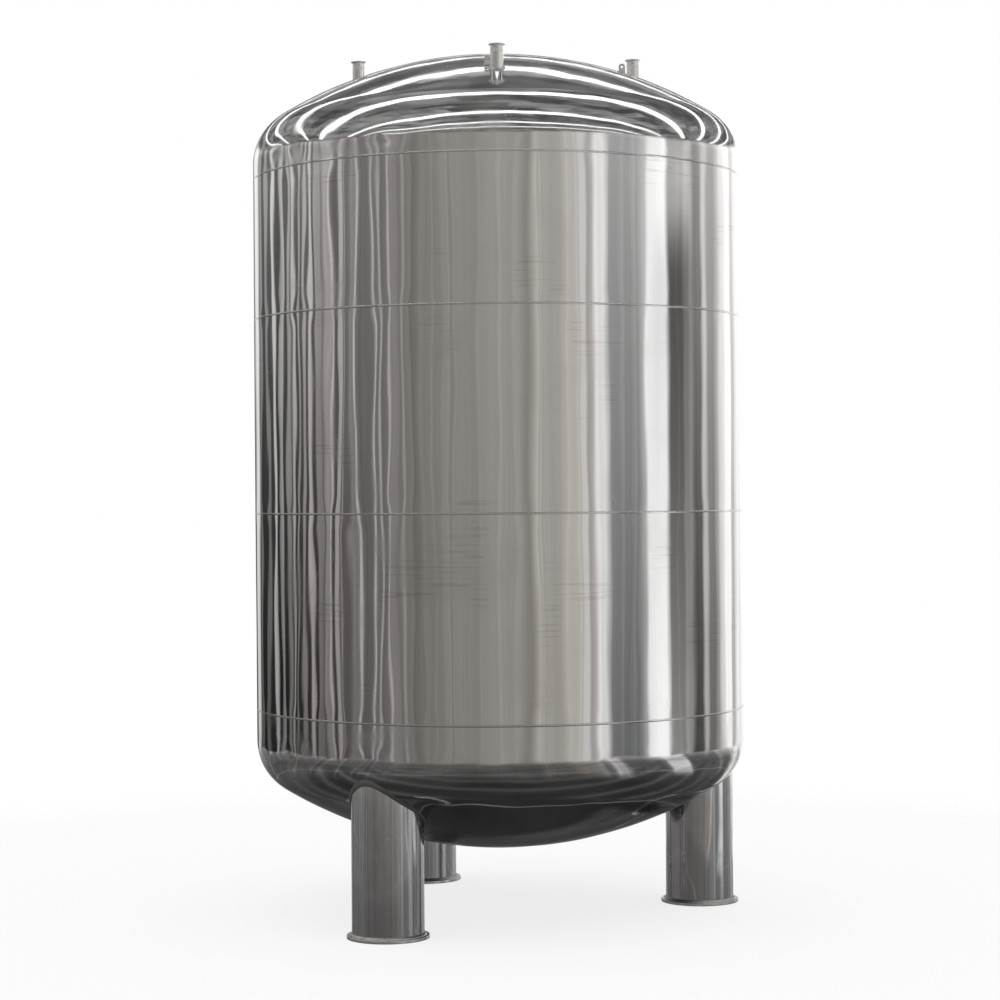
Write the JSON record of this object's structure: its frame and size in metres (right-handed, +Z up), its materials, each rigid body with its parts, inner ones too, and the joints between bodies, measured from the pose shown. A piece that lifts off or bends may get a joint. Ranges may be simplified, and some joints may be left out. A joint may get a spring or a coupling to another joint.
{
  "type": "vertical storage tank",
  "caption": "Upright cylindrical process tank with dished ends, tube legs on round foot plates, and clamp nozzles and lugs on the top head.",
  "frame": {"origin": "on the tank's axis at floor level, in the plane of the foot plates' undersides", "axes": "+Z up along the tank's axis, -Y towards the front of the tank, +X to the right seen from the front"},
  "size_m": [2.001, 2.001, 3.4922],
  "materials": {
    "polished_stainless": "mirror-polished stainless steel sheet",
    "satin_stainless": "finely polished stainless steel tube and plate",
    "weld_stainless": "ground and polished stainless steel weld"
  },
  "bodies": {
    "root": {"top_head": "polished_stainless", "bottom_head": "polished_stainless", "shell_course_lower": "polished_stainless", "shell_course_middle": "polished_stainless", "shell_course_upper": "polished_stainless", "girth_weld_bottom": "weld_stainless", "girth_weld_lower": "weld_stainless", "girth_weld_upper": "weld_stainless", "girth_weld_top": "weld_stainless", "seam_weld_lower": "weld_stainless", "seam_weld_middle": "weld_stainless", "seam_weld_upper": "weld_stainless", "leg_front_left": "satin_stainless", "leg_right": "satin_stainless", "leg_rear_left": "satin_stainless", "leg_weld_front_left": "weld_stainless", "leg_weld_right": "weld_stainless", "leg_weld_rear_left": "weld_stainless", "foot_plate_front_left": "satin_stainless", "foot_plate_right": "satin_stainless", "foot_plate_rear_left": "satin_stainless", "foot_weld_front_left": "weld_stainless", "foot_weld_right": "weld_stainless", "foot_weld_rear_left": "weld_stainless", "nozzle_front": "satin_stainless", "nozzle_left": "satin_stainless", "nozzle_right": "satin_stainless", "nozzle_back": "satin_stainless", "ferrule_front": "polished_stainless", "ferrule_left": "polished_stainless", "ferrule_right": "polished_stainless", "ferrule_back": "polished_stainless", "nozzle_weld_front": "weld_stainless", "nozzle_weld_left": "weld_stainless", "nozzle_weld_right": "weld_stainless", "nozzle_weld_back": "weld_stainless", "lug_front": "satin_stainless", "lug_right": "satin_stainless"}
  },
  "joints": []
}
